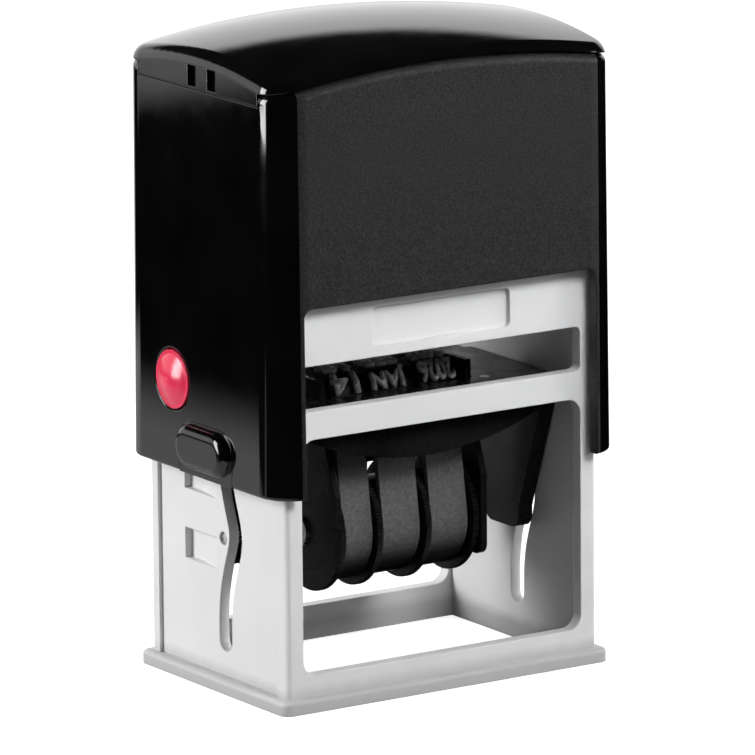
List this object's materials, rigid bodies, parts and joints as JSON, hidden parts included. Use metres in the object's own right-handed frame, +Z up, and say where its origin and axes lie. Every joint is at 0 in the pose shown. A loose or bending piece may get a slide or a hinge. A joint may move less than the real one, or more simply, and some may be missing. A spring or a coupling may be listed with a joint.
{
  "type": "date stamp",
  "caption": "Self-inking date stamp with a sliding housing, a type carrier that turns over, turning date wheels, lock buttons and a pad tray.",
  "frame": {"origin": "middle of the foot's underside, on the desk", "axes": "+X to the stamp's right, -Y towards its front with the header strip, +Z up along the stroke"},
  "size_m": [0.0682, 0.0464, 0.1052],
  "materials": {
    "frame_grey": "satin light grey moulded plastic",
    "housing_black": "glossy black moulded plastic with a satin front panel",
    "cap_smoke": "glossy smoked plastic",
    "card": "bare dark card",
    "lock_red": "glossy red plastic",
    "carrier_black": "black plastic with a soft gloss",
    "band_rubber": "smooth dark grey rubber",
    "wheel_black": "black plastic with knurled rims",
    "steel": "bright steel",
    "spring_steel": "spring wire",
    "pad_felt": "ink-soaked felt",
    "tray_black": "black plastic"
  },
  "bodies": {
    "frame": {"base_frame": "frame_grey", "turning_pin_left": "steel", "turning_pin_right": "steel", "return_spring": "spring_steel"},
    "pad_cassette": {"pad_tray": "tray_black", "ink_pad": "pad_felt"},
    "housing": {"housing_shell": "housing_black", "index_card": "card", "pivot_cap_left": "housing_black", "pivot_cap_right": "housing_black"},
    "index_cap": {"index_cap": "cap_smoke"},
    "lock_left": {"lock_button_left": "lock_red"},
    "lock_right": {"lock_button_right": "lock_red"},
    "pivot_pins": {"pivot_pin_left": "steel", "pivot_pin_right": "steel"},
    "carrier": {"carrier_body": "carrier_black", "date_bracket": "carrier_black", "bracket_screws": "steel", "wheel_axle": "steel", "date_band_day": "band_rubber", "date_band_month": "band_rubber", "date_band_year": "band_rubber"},
    "wheel_day": {"date_wheel_day": "wheel_black"},
    "wheel_month": {"date_wheel_month": "wheel_black"},
    "wheel_year": {"date_wheel_year": "wheel_black"}
  },
  "joints": [
    {"name": "press", "type": "slide", "parent": "frame", "child": "housing", "axis": [0, 0, -1], "range_m": [0, 0.0288], "stiffness_N_per_m": 400, "springref_m": -0.015, "deforming": ["return_spring"]},
    {"name": "pin_shift", "type": "hinge", "parent": "housing", "child": "pivot_pins", "pos_m": [0, -0.0028, 0.0394], "axis": [-1, 0, 0], "range_deg": [0, 360]},
    {"name": "flip", "type": "hinge", "parent": "pivot_pins", "child": "carrier", "pos_m": [0, -0.0012, 0.0394], "axis": [1, 0, 0], "range_deg": [0, 540]},
    {"name": "lock_left_push", "type": "slide", "parent": "housing", "child": "lock_left", "axis": [1, 0, 0], "range_m": [0, 0.0018], "stiffness_N_per_m": 400},
    {"name": "lock_right_push", "type": "slide", "parent": "housing", "child": "lock_right", "axis": [-1, 0, 0], "range_m": [0, 0.0018], "stiffness_N_per_m": 400},
    {"name": "cap_lift", "type": "slide", "parent": "housing", "child": "index_cap", "axis": [0, 0, 1], "range_m": [0, 0.02]},
    {"name": "pad_slide", "type": "slide", "parent": "frame", "child": "pad_cassette", "axis": [0, -1, 0], "range_m": [-0.038, 0]},
    {"name": "wheel_day_spin", "type": "hinge", "parent": "carrier", "child": "wheel_day", "pos_m": [0, -0.0012, 0.0237], "axis": [1, 0, 0], "continuous": true},
    {"name": "wheel_month_spin", "type": "hinge", "parent": "carrier", "child": "wheel_month", "pos_m": [0, -0.0012, 0.0237], "axis": [1, 0, 0], "continuous": true},
    {"name": "wheel_year_spin", "type": "hinge", "parent": "carrier", "child": "wheel_year", "pos_m": [0, -0.0012, 0.0237], "axis": [1, 0, 0], "continuous": true}
  ],
  "couplings": [
    {"joint": "pin_shift", "follows": "press", "rad_per_m": 218.17},
    {"joint": "flip", "follows": "press", "rad_per_m": 327.25}
  ]
}
